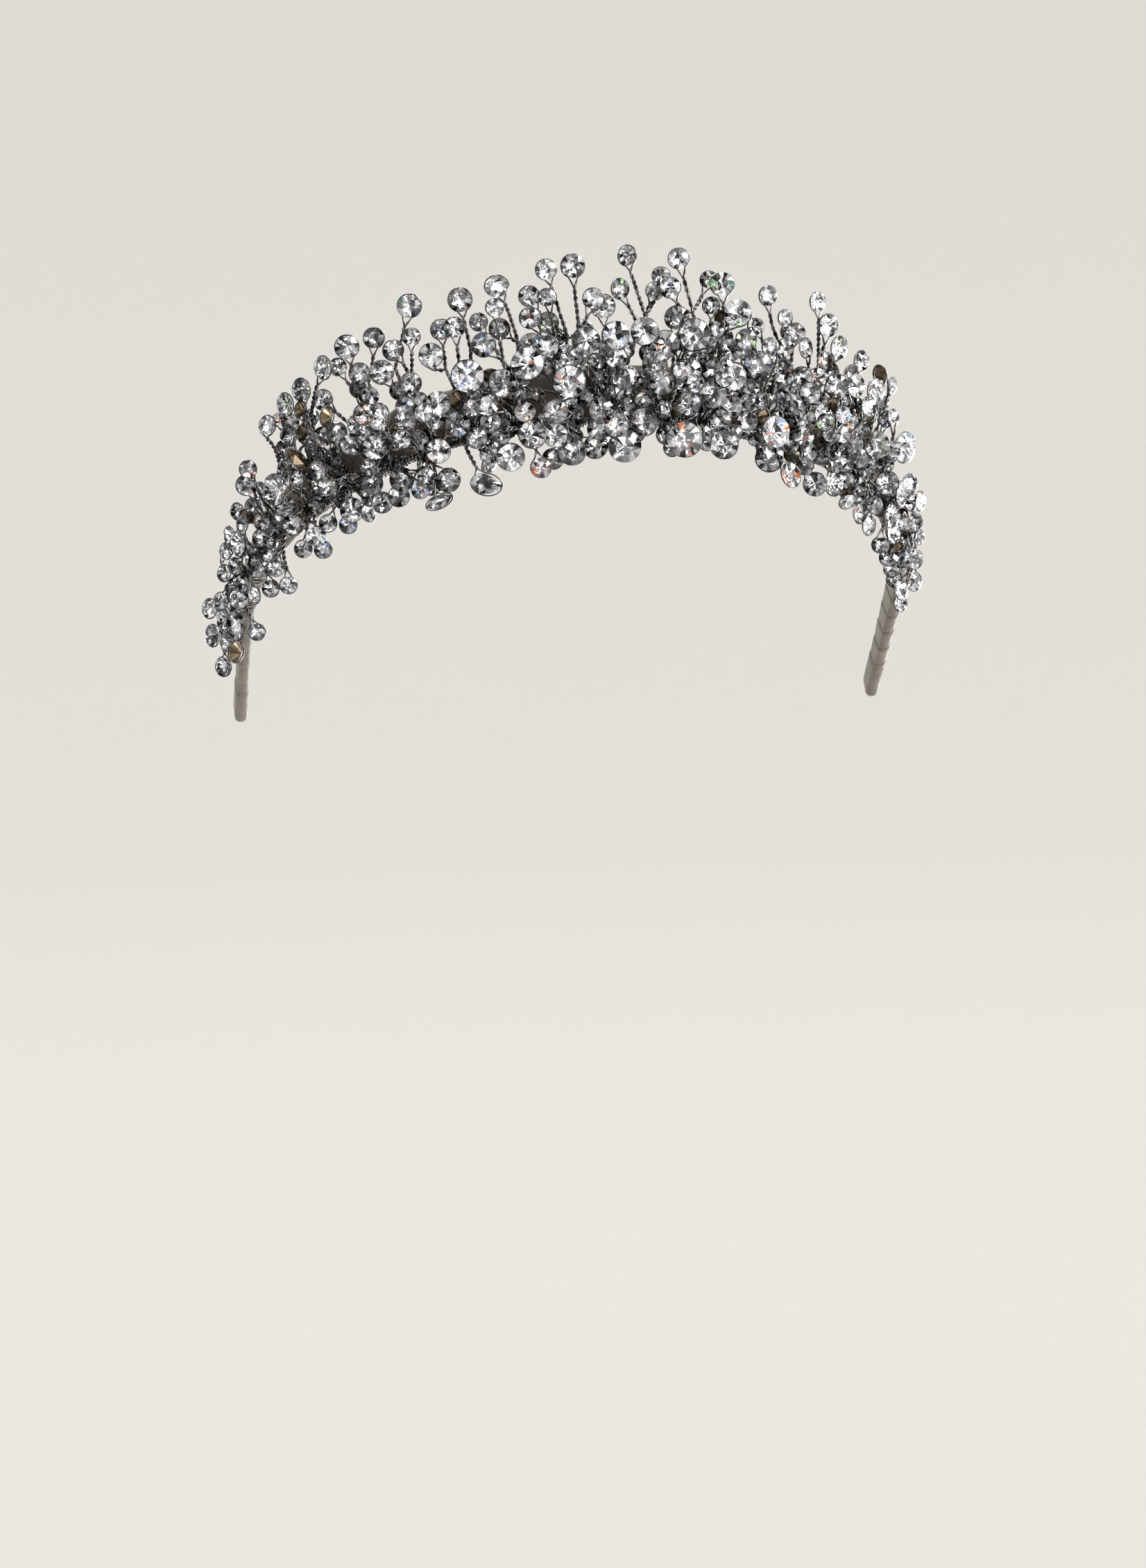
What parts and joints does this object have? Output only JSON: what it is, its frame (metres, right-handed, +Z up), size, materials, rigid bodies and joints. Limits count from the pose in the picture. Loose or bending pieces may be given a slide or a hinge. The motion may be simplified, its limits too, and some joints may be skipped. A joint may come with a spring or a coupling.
{
  "type": "bridal tiara",
  "caption": "Bridal tiara: foil-backed crystals on twisted wire stems, bound in sprays along a ribbon-wrapped headband.",
  "frame": {"origin": "middle of the circle that the head fills, in the plane of the headband at its widest point", "axes": "worn position: +Z up, -Y towards the front of the head, +X to the right as seen from the front"},
  "size_m": [0.1706, 0.1072, 0.1111],
  "materials": {
    "crystal": "polished, foil-backed",
    "silver_wire": "antique silver plate",
    "spring_steel": "plain",
    "ribbon": "matt satin ribbon"
  },
  "bodies": {
    "root": {"binding_coils": "silver_wire", "frame_wire": "silver_wire", "headband_core": "spring_steel", "headband_ribbon_wrap": "ribbon", "spray_01_crystals": "crystal", "spray_01_wires": "silver_wire", "spray_02_crystals": "crystal", "spray_02_wires": "silver_wire", "spray_03_crystals": "crystal", "spray_03_wires": "silver_wire", "spray_04_crystals": "crystal", "spray_04_wires": "silver_wire", "spray_05_crystals": "crystal", "spray_05_wires": "silver_wire", "spray_06_crystals": "crystal", "spray_06_wires": "silver_wire", "spray_07_crystals": "crystal", "spray_07_wires": "silver_wire", "spray_08_crystals": "crystal", "spray_08_wires": "silver_wire", "spray_09_crystals": "crystal", "spray_09_wires": "silver_wire", "spray_10_crystals": "crystal", "spray_10_wires": "silver_wire", "spray_11_crystals": "crystal", "spray_11_wires": "silver_wire", "spray_12_crystals": "crystal", "spray_12_wires": "silver_wire", "spray_13_crystals": "crystal", "spray_13_wires": "silver_wire", "spray_14_crystals": "crystal", "spray_14_wires": "silver_wire", "spray_15_crystals": "crystal", "spray_15_wires": "silver_wire", "spray_16_crystals": "crystal", "spray_16_wires": "silver_wire", "spray_17_crystals": "crystal", "spray_17_wires": "silver_wire", "spray_18_crystals": "crystal", "spray_18_wires": "silver_wire", "spray_19_crystals": "crystal", "spray_19_wires": "silver_wire", "spray_20_crystals": "crystal", "spray_20_wires": "silver_wire", "spray_21_crystals": "crystal", "spray_21_wires": "silver_wire", "spray_22_crystals": "crystal", "spray_22_wires": "silver_wire"}
  },
  "joints": []
}
